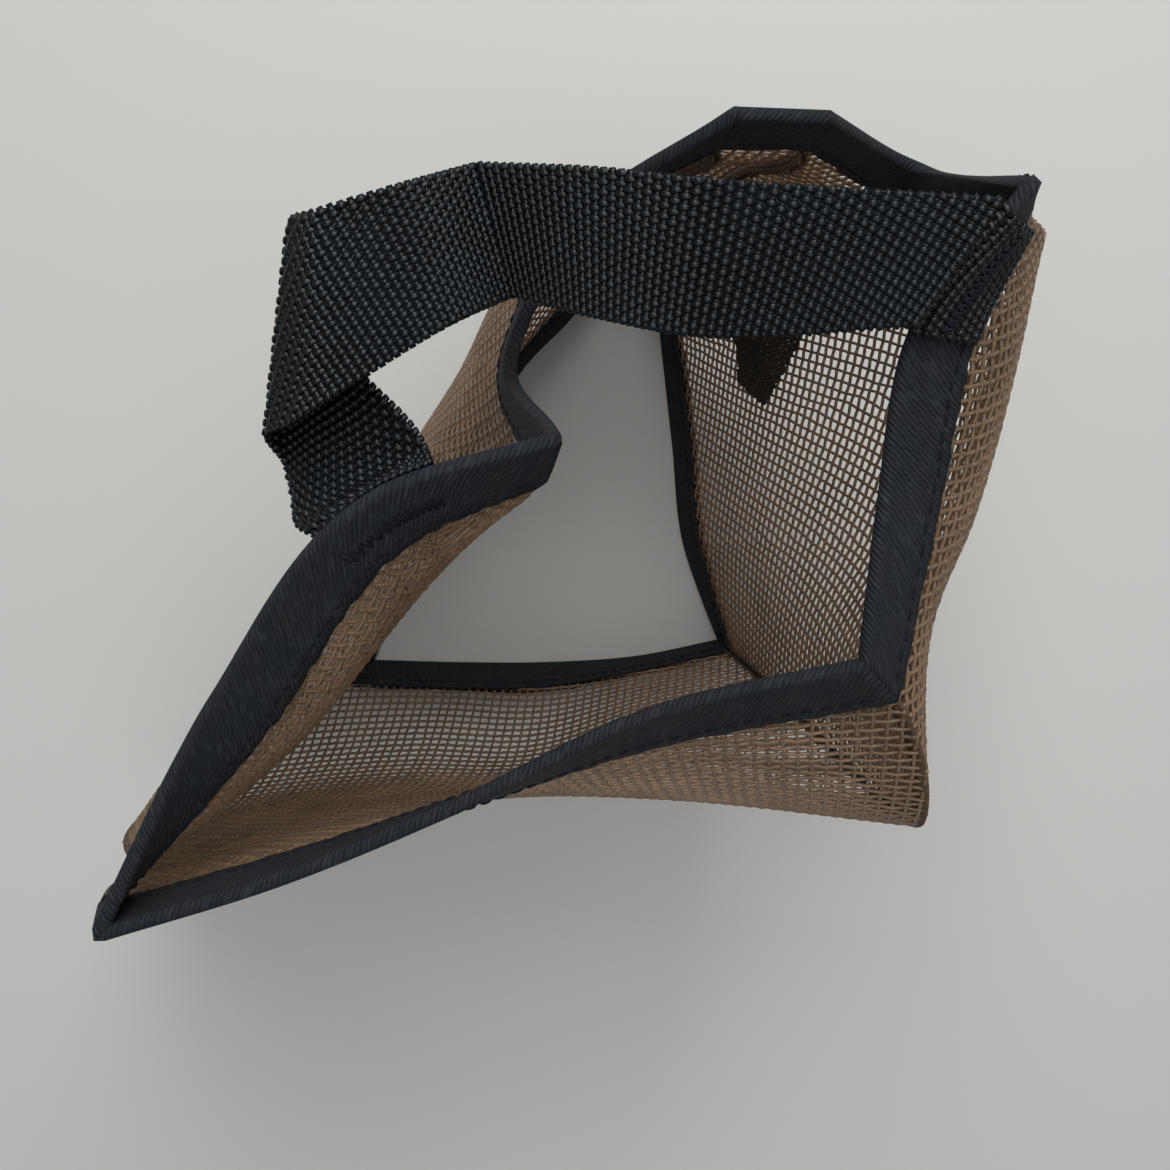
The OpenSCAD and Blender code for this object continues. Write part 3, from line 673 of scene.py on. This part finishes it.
# Lines of stitches along the tapes
STITCH_LENGTH = 2.5
STITCH_GAP = 0.7
STITCH_DIA = 0.5
STITCH_STEP = 0.5
STITCH_END = 1.5
STITCH_POINTS = 6
STITCH_DIP = 0.3
STITCH_TAPER = 0.5
STITCH_STRAY = 0.12


def stitch_line(share):
    """Points and quads of the stitches on both faces of the tapes of one edge."""
    meshes = []
    pitch = STITCH_LENGTH + STITCH_GAP
    bow = np.linspace(0, 1, STITCH_POINTS)
    ends = (2 * bow - 1) ** 4
    thick = STITCH_DIA * (1 - STITCH_TAPER * ends)
    for _, panel, start, stop in TAPE_RUNS[share]:
        places, run = even_places(panel, start, stop, share, STITCH_STEP)
        count = int((run[-1] - 2 * STITCH_END) / pitch)
        begin = STITCH_END + np.arange(count) * pitch
        place = np.interp(begin[:, None] + bow[None, :] * STITCH_LENGTH, run, places)
        inset = TAPE_WIDTH - STITCH_INSET + random.normal(0, STITCH_STRAY, (count, 1))
        distance = inward(share) * np.broadcast_to(inset, place.shape)
        normals = panel.normals(place, share, distance)
        for face in (1, -1):
            centres = panel.offset(place, share, distance, face * (STITCH_OUT - STITCH_DIP * ends)[None, :])
            meshes.append(threads(centres, normals, thick, thick, THREAD_SIDES))
    return joined(meshes)


# Crown strap: warp yarns along it, over and under weft yarns across it
WEBBING_WIDTH = 25
WARPS = 28
WARP_THICK = 0.5
WARP_SIDES = 8
WARP_WAVE = 0.55
WARP_ROUND = 0.7
WARP_UNEVEN = 0.03
# Width of a warp yarn in shares of its pitch, under the weft, and what it gains at the top of its wave
WARP_NARROW = 0.95
WARP_GAIN = 0.6
WEFT_PITCH = 1.63
WEFT_WIDTH = 1.15
WEFT_THICK = 0.6
WEFT_WAVE = 0.08
WEFT_OVER = 0.012
SAMPLES_PER_WEFT = 4
CORE_HALF = 0.1
# The sewn ends: place of the middle, half the width in places, and distances from the rim
RIGHT_SEWN = (3.38, 0.42)
LEFT_SEWN = (3.96, -0.32)
SEWN_DISTANCES = (11, 8, 4, 0)
OVER_RIM = 2.2
OVER_RIM_OUT = 0.6 * STRAP_OUT
# Columns of the path: at the rim, at the crease, and those where the yarns slide freely
RIM_COLUMN = 5
CREASE_COLUMN = 8
FREE_COLUMNS = (6, 10, 11, 12, 13)
PATH_STEPS = 24
LENGTH_SAMPLES = 50


def sewn_place(spot, w):
    """Places along the rim at shares w of the width of a sewn end."""
    return spot[0] + spot[1] * (1 - 2 * w)


def strap_columns(w):
    """Columns of points across the strap at shares w of its width, from its right end to its left."""

    def sewn(panel, spot, distance, out):
        return panel.offset(sewn_place(spot, w), RIM, distance, out)

    def drawn(pair):
        a, b = placed(pair)
        return a + (b - a) * w[:, None]

    right = [sewn(RIGHT, RIGHT_SEWN, -d, STRAP_OUT) for d in SEWN_DISTANCES]
    right.append(sewn(RIGHT, RIGHT_SEWN, OVER_RIM, OVER_RIM_OUT))
    left = [sewn(LEFT, LEFT_SEWN, -d, STRAP_OUT) for d in reversed(SEWN_DISTANCES)]
    loop = [drawn(pair) for pair in (STRAP_OVER_RIM, *STRAP_LOOP, STRAP_LEFT_FOLD)]
    return np.stack([*right, *loop, *left], axis=1)


def strap_grid(w, samples):
    """Points of the strap's middle sheet (shares, samples, 3), the sample at its crease and its length."""
    columns = strap_columns(w)
    stretches = columns.shape[1] - 1
    index = np.minimum(np.arange(stretches * PATH_STEPS + 1) // PATH_STEPS, stretches - 1)
    t = np.arange(stretches * PATH_STEPS + 1) / PATH_STEPS - index
    corners = (RIM_COLUMN, CREASE_COLUMN)
    fine = [curve(columns, np.full(len(w), i), np.full(len(w), s), corners) for i, s in zip(index, t)]
    fine = np.stack(fine, axis=1)
    run = running(lengths(fine))
    pinned = [k for k in range(stretches + 1) if k not in FREE_COLUMNS]
    pins = run[:, [k * PATH_STEPS for k in pinned]]
    middle = pins[len(w) // 2]
    target = np.linspace(0, middle[-1], samples)
    grid = np.empty((len(w), samples, 3))
    for k in range(len(w)):
        own = np.interp(target, middle, pins[k])
        for axis in range(3):
            grid[k, :, axis] = np.interp(own, run[k], fine[k, :, axis])
    crease = np.interp(middle[pinned.index(CREASE_COLUMN)], target, np.arange(samples))
    return grid, crease, middle[-1]


def sheet_normals(grid):
    """Normals of a grid of points (across, along, 3)."""
    return unit(np.cross(np.gradient(grid, axis=1), np.gradient(grid, axis=0)))


def webbing(part):
    """Points and quads of the yarns in one part of the strap: 0 right of its crease, 1 left of it."""
    w = (np.arange(WARPS) + 0.5) / WARPS
    wefts = round(strap_grid(w, LENGTH_SAMPLES)[2] / WEFT_PITCH)
    samples = wefts * SAMPLES_PER_WEFT + 1
    grid, crease, _ = strap_grid(w, samples)
    split = int(round(crease / SAMPLES_PER_WEFT)) * SAMPLES_PER_WEFT
    keep = np.s_[: split + 1] if part == 0 else np.s_[split:]
    sample = np.arange(samples)[keep]
    normals = sheet_normals(grid)[:, keep]
    swing = np.cos(math.pi * (sample / SAMPLES_PER_WEFT - 0.5))
    wave = swing[None, :] * np.where(np.arange(WARPS) % 2 == 0, 1, -1)[:, None]
    lift = WARP_WAVE * np.sign(wave) * np.abs(wave) ** WARP_ROUND
    centres = grid[:, keep] + normals * lift[..., None]
    widths = WEBBING_WIDTH / WARPS * (WARP_NARROW + WARP_GAIN * wave**2)
    widths = widths * (1 + random.normal(0, WARP_UNEVEN, wave.shape))
    warp = threads(centres, normals, widths, WARP_THICK, WARP_SIDES)

    w = np.concatenate([[-WEFT_OVER], w, [1 + WEFT_OVER]])
    grid, _, _ = strap_grid(w, samples)
    normals = sheet_normals(grid)
    number = np.arange(wefts)
    number = number[(number >= split // SAMPLES_PER_WEFT) == (part == 1)]
    middle = number * SAMPLES_PER_WEFT + SAMPLES_PER_WEFT // 2
    grid, normals = grid[:, middle].transpose(1, 0, 2), normals[:, middle].transpose(1, 0, 2)
    sign = np.where((number[:, None] + np.arange(len(w))[None, :] - 1) % 2 == 0, -1, 1)
    sign[:, [0, -1]] = 0
    centres = grid + normals * (WEFT_WAVE * sign)[..., None]
    weft = threads(centres, normals, WEFT_WIDTH, WEFT_THICK, STRAND_SIDES)
    inner, out = grid[:, 1:-1], CORE_HALF * normals[:, 1:-1]
    return joined([warp, weft, shell(inner + out, inner - out)])


# Zigzag stitches across the sewn ends of the strap, between two distances from the rim
ZIGZAG_TURNS = 13
ZIGZAG_STEPS = 4
ZIGZAG_MARGIN = 0.06
ZIGZAG_DIP = 0.25
ZIGZAG_WIDTH = 0.6
ZIGZAG_THICK = 0.5
ZIGZAG_OVER_STRAP = 0.85
ZIGZAGS = {
    "strap_right": (RIGHT, RIGHT_SEWN, STRAP_OUT + ZIGZAG_OVER_STRAP, 2.2, 4.8),
    "strap_left": (LEFT, LEFT_SEWN, -STITCH_OUT, 4.2, 7),
}


def zigzag(panel, spot, out, near, far):
    """Points and quads of a zigzag thread between two distances from the rim."""
    turns = np.arange(ZIGZAG_TURNS * 2 + 1)
    fine = np.linspace(0, turns[-1], turns[-1] * ZIGZAG_STEPS + 1)
    share = ZIGZAG_MARGIN + (1 - 2 * ZIGZAG_MARGIN) * fine / fine[-1]
    distance = np.interp(fine, turns, np.where(turns % 2 == 0, near, far))
    place = sewn_place(spot, share)
    dip = ZIGZAG_DIP * np.cos(math.pi * fine) ** 4 * np.sign(out)
    centres = panel.offset(place, RIM, -distance, out - dip)
    normals = panel.normals(place, RIM, -distance)
    return threads(centres, normals, ZIGZAG_WIDTH, ZIGZAG_THICK, THREAD_SIDES)


# Knot of thread: a trefoil about six units wide, and two tails that droop
KNOT_POINTS = 80
KNOT_UNITS = 6
KNOT_RISE = 1.4
KNOT_THREAD = 0.5
TAIL_WAYS = ((0.8, 0.3, -0.4), (0.9, -0.5, -0.1))
TAIL_POINTS = 12
TAIL_LENGTH = 3.2
TAIL_DROOP = np.array([0, 0.5, -1.2])
TAIL_SIDE = np.array([0.3, 1, 0.6])
TAIL_THREAD = 0.32


def knot(middle, size):
    """Points and quads of a small knot with two loose ends."""
    t = np.linspace(0, 2 * math.pi, KNOT_POINTS)
    x = np.sin(t) + 2 * np.sin(2 * t)
    y = np.cos(t) - 2 * np.cos(2 * t)
    loop = middle + np.stack([x, y, -KNOT_RISE * np.sin(3 * t)], axis=1) * size / KNOT_UNITS
    meshes = [threads(loop, unit(loop - middle), KNOT_THREAD, KNOT_THREAD, THREAD_SIDES)]
    s = np.linspace(0, 1, TAIL_POINTS)[:, None]
    for way in TAIL_WAYS:
        tail = middle + unit(np.array(way)) * TAIL_LENGTH * s + TAIL_DROOP * s**2
        normals = np.broadcast_to(unit(TAIL_SIDE), tail.shape)
        meshes.append(threads(tail, normals, TAIL_THREAD, TAIL_THREAD, THREAD_SIDES))
    return joined(meshes)


# Materials
def material(name):
    """A new node material: its tree and its shader."""
    made = bpy.data.materials.new(name)
    made.use_nodes = True
    return made, made.node_tree, made.node_tree.nodes["Principled BSDF"]


def feed(tree, socket, value):
    """Links an output to a socket, or sets the socket to a value."""
    if isinstance(value, bpy.types.NodeSocket):
        tree.links.new(value, socket)
    else:
        socket.default_value = value


def node(tree, kind, **inputs):
    """A node of a kind, with values or links for its inputs."""
    made = tree.nodes.new(kind)
    for key, value in inputs.items():
        feed(tree, made.inputs[key.replace("_", " ")], value)
    return made


def maths(tree, operation, *values):
    """What a math node gives."""
    made = tree.nodes.new("ShaderNodeMath")
    made.operation = operation
    for socket, value in zip(made.inputs, values):
        feed(tree, socket, value)
    return made.outputs[0]


def colour_mix(tree, blend, factor, a, b):
    """The colour that a mix node gives."""
    made = tree.nodes.new("ShaderNodeMix")
    made.data_type = "RGBA"
    made.blend_type = blend
    for key, value in (("Factor", factor), ("A", a), ("B", b)):
        feed(tree, made.inputs[key], value)
    return made.outputs["Result"]


def ramp(tree, factor, low, high):
    """A colour ramp between two stops of (position, colour)."""
    made = node(tree, "ShaderNodeValToRGB", Fac=factor)
    for element, (position, colour) in zip(made.color_ramp.elements, (low, high)):
        element.position = position
        element.color = (*colour, 1)
    return made.outputs["Color"]


# Yarn: scale of its broad shades per metre, shares in its colour, and spread of its roughness
BROAD_SCALE = 60.0
BROAD_SHARE = 0.4
FINE_SHARE = 0.6
SMOOTHER = 0.1
ROUGHER = 0.12


def yarn_material(name, dark, light, roughness, grain, gloss):
    """Yarn with uneven colour and a fine twist that roughens it."""
    made, tree, shader = material(name)
    spot = tree.nodes.new("ShaderNodeTexCoord").outputs["Object"]
    broad = node(tree, "ShaderNodeTexNoise", Vector=spot, Scale=BROAD_SCALE, Detail=3.0).outputs["Fac"]
    fine = node(tree, "ShaderNodeTexNoise", Vector=spot, Scale=grain, Detail=2.0).outputs["Fac"]
    mixed = maths(tree, "MULTIPLY_ADD", fine, FINE_SHARE, maths(tree, "MULTIPLY", broad, BROAD_SHARE))
    feed(tree, shader.inputs["Base Color"], ramp(tree, mixed, (0.35, dark), (0.65, light)))
    rough = node(
        tree, "ShaderNodeMapRange", Value=fine, To_Min=roughness - SMOOTHER, To_Max=roughness + ROUGHER
    )
    feed(tree, shader.inputs["Roughness"], rough.outputs["Result"])
    bump = node(tree, "ShaderNodeBump", Height=fine, Strength=0.35, Distance=0.0002)
    feed(tree, shader.inputs["Normal"], bump.outputs["Normal"])
    shader.inputs["Specular IOR Level"].default_value = gloss
    return made


# Twill: slant of the ribs, scales per millimetre, stretch of the pale streaks and their share in the relief
RIB_SLANT = math.radians(38)
RIB_SCALE = 0.36
SHADE_SCALE = 0.12
STREAK_STRETCH = (1.1, 0.22, 1)
STREAK_RELIEF = 0.7
NO_STREAK = (0, 0, 0)
FULL_STREAK = (1, 1, 1)
COOL_SHADE = (0.75, 0.85, 1.0)
WARM_SHADE = (1.1, 1.05, 1.0)


def twill_material(name, dark, light, lint_and_highlight):
    """Twill tape: slanting ribs with painted highlight on their tops, and streaks of lint and painted
    highlight.
    """
    made, tree, shader = material(name)
    cloth = tree.nodes.new("ShaderNodeUVMap")
    cloth.uv_map = "cloth"
    spot = cloth.outputs["UV"]
    slanted = node(tree, "ShaderNodeMapping", Vector=spot, Rotation=(0, 0, RIB_SLANT)).outputs["Vector"]
    ribs = node(tree, "ShaderNodeTexWave", Vector=slanted, Scale=RIB_SCALE, Distortion=2.6, Detail=2.0)
    long = node(tree, "ShaderNodeMapping", Vector=slanted, Scale=STREAK_STRETCH).outputs["Vector"]
    streaks = node(tree, "ShaderNodeTexNoise", Vector=long, Scale=1.0, Detail=5.0, Roughness=0.7)
    broad = node(tree, "ShaderNodeTexNoise", Vector=spot, Scale=SHADE_SCALE, Detail=3.0)
    ribs, streaks, broad = ribs.outputs["Fac"], streaks.outputs["Fac"], broad.outputs["Fac"]
    # Painted highlight: the ribs' raised tops get the paler colour
    rib_painted_highlight = ramp(tree, ribs, (0.15, dark), (0.95, light))
    # Pale streaks: partly lint, partly painted highlight
    streak_share = ramp(tree, streaks, (0.5, NO_STREAK), (0.78, FULL_STREAK))
    streaked = colour_mix(tree, "MIX", streak_share, rib_painted_highlight, (*lint_and_highlight, 1))
    shades = ramp(tree, broad, (0.35, COOL_SHADE), (0.65, WARM_SHADE))
    feed(tree, shader.inputs["Base Color"], colour_mix(tree, "MULTIPLY", 1, streaked, shades))
    height = maths(tree, "MULTIPLY_ADD", streaks, STREAK_RELIEF, ribs)
    bump = node(tree, "ShaderNodeBump", Height=height, Strength=0.7, Distance=0.0003)
    feed(tree, shader.inputs["Normal"], bump.outputs["Normal"])
    shader.inputs["Roughness"].default_value = 0.85
    shader.inputs["Specular IOR Level"].default_value = 0.25
    return made


mesh_yarn = yarn_material(
    "mesh_yarn", (0.098, 0.057, 0.030), (0.215, 0.132, 0.076), roughness=0.4, grain=1400.0, gloss=0.4
)
# Dart yarn: the mesh's brown painted far darker as painted shade of the strap and cheek over the dart; the
# doubled cloth adds some real darkness
dart_yarn_painted_shade = yarn_material(
    "dart_yarn_painted_shade", (0.012, 0.008, 0.005), (0.030, 0.020, 0.013), roughness=0.6, grain=1400.0, gloss=0.2
)
seam_yarn = yarn_material(
    "seam_yarn", (0.030, 0.018, 0.010), (0.100, 0.060, 0.034), roughness=0.55, grain=1600.0, gloss=0.25
)
webbing_yarn = yarn_material(
    "webbing_yarn",
    (0.001, 0.0014, 0.0018),
    (0.0036, 0.005, 0.0064),
    roughness=0.34,
    grain=2200.0,
    gloss=0.26,
)
webbing_shader = webbing_yarn.node_tree.nodes["Principled BSDF"]
webbing_shader.inputs["Specular Tint"].default_value = (0.86, 0.94, 1, 1)
sewing_thread = yarn_material(
    "sewing_thread", (0.003, 0.004, 0.007), (0.008, 0.010, 0.017), roughness=0.75, grain=2600.0, gloss=0.15
)
twill_tape = twill_material(
    "twill_tape", (0.005, 0.0065, 0.009), (0.0125, 0.0155, 0.0195), lint_and_highlight=(0.032, 0.037, 0.042)
)


def dress(piece, finish, slot, body, *nodes):
    """Gives a piece its material and its body if it keeps to one, and hides the solids it stands for; slot
    is not used.
    """
    piece.data.materials.append(finish)
    if body:
        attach(piece, body)
    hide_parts(*nodes)
    return piece


# Panels, with the turn of each one's weave on its flat cut in degrees
for name, panel, angle in (
    ("jaw", JAW, -8),
    ("right_cheek", RIGHT, -26),
    ("forehead", FOREHEAD, 0),
    ("left_cheek", LEFT, 36),
):
    piece = mesh_object(name + "_mesh", *net(panel, angle))
    dress(piece, mesh_yarn, "mesh_cloth", "mask", name + "_panel")
    size, area = cut(panel)

# Tapes, their stitches and the seams
for share in (RIM, NOSE):
    for tape in tapes(share):
        dress(tape_object(tape), twill_tape, "edge_tape", "mask", tape["name"])
for share, name in ((RIM, "rim_tape_thread"), (NOSE, "nose_tape_thread")):
    dress(mesh_object(name + "_stitches", *stitch_line(share)), sewing_thread, "thread", "mask", name)
for name, seam in SEAMS.items():
    dress(mesh_object(name + "_thread", *seam_thread(*seam)), seam_yarn, "mesh_cloth", "mask", name)

# Eye darts, with the places of the tip and of the end at the brow
for name, panel, tip_place, brow_place in (
    ("right_eye_dart", RIGHT, 3.21, 5.8),
    ("left_eye_dart", LEFT, 1.86, 0.2),
):
    points, quads, size, area = dart(panel, tip_place, brow_place)
    piece = dress(mesh_object(name + "_mesh", points, quads), dart_yarn_painted_shade, "mesh_cloth", "mask", name)

# Knot and zigzag stitches
knot_low, knot_high = (np.array(corner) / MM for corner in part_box("thread_knot"))
piece = mesh_object("thread_knot_loops", *knot((knot_low + knot_high) / 2, knot_high[0] - knot_low[0]))
dress(piece, sewing_thread, "thread", "mask", "thread_knot")
for name, line in ZIGZAGS.items():
    piece = mesh_object(name + "_zigzag", *zigzag(*line))
    dress(piece, sewing_thread, "thread", "mask", name + "_stitches")

# Strap, in two pieces that meet at its crease
for part, name in enumerate(("strap_right", "strap_left")):
    piece = mesh_object(name + "_webbing", *webbing(part))
    dress(piece, webbing_yarn, "webbing", None, name + "_end", "crown_strap")
    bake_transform(piece)

# Floor, in metres
FLOOR_HALF = 3.0
floor_mesh = bpy.data.meshes.new("floor")
floor_corners = [(-1, -1, 0), (1, -1, 0), (1, 1, 0), (-1, 1, 0)]
floor_mesh.from_pydata(floor_corners, [], [(0, 1, 2, 3)])
floor = bpy.data.objects.new("floor", floor_mesh)
floor.scale = (FLOOR_HALF, FLOOR_HALF, 1)
bpy.context.scene.collection.objects.link(floor)
floor_paint, _, floor_shader = material("floor_paint")
floor_shader.inputs["Base Color"].default_value = (0.46, 0.46, 0.44, 1)
floor_shader.inputs["Roughness"].default_value = 0.8
floor_mesh.materials.append(floor_paint)

# Light
world = bpy.data.worlds.new("studio")
world.use_nodes = True
background = world.node_tree.nodes["Background"]
background.inputs["Color"].default_value = (0.95, 0.97, 1, 1)
background.inputs["Strength"].default_value = 0.33
bpy.context.scene.world = world


def lamp(name, place, target, size, power):
    """A square soft light that looks at a target, all in metres."""
    light = bpy.data.lights.new(name, "AREA")
    light.size = size
    light.energy = power
    lit = bpy.data.objects.new(name, light)
    lit.location = place
    way = np.array(target) - np.array(place)
    pitch = math.atan2(math.hypot(way[0], way[1]), -way[2])
    lit.rotation_euler = (pitch, 0, math.atan2(way[1], way[0]) - math.pi / 2)
    bpy.context.scene.collection.objects.link(lit)


lamp("key_light", place=(0.1, 0.62, 0.85), target=(0, 0.05, 0.1), size=0.6, power=8)
lamp("fill_light", place=(0.05, 0, 1.4), target=(0, 0, 0.1), size=1.1, power=8.5)

# The camera looks straight down; its shift keeps the photographed framing
PHOTO_SIZE = 1170
FOCAL_PIXELS = 1195
NADIR_PIXEL = (614, 516)
SENSOR_WIDTH = 36.0
CAMERA_PLACE = (26.92, 3.81, 408)
CLIP_START = 0.01
camera_data = bpy.data.cameras.new("camera")
camera_data.sensor_width = SENSOR_WIDTH
camera_data.lens = SENSOR_WIDTH * FOCAL_PIXELS / PHOTO_SIZE
camera_data.shift_x = 0.5 - NADIR_PIXEL[0] / PHOTO_SIZE
camera_data.shift_y = NADIR_PIXEL[1] / PHOTO_SIZE - 0.5
camera_data.clip_start = CLIP_START
camera = bpy.data.objects.new("camera", camera_data)
camera.location = np.array(CAMERA_PLACE) * MM
bpy.context.scene.collection.objects.link(camera)
bpy.context.scene.camera = camera
bpy.context.scene.view_settings.view_transform = "Standard"
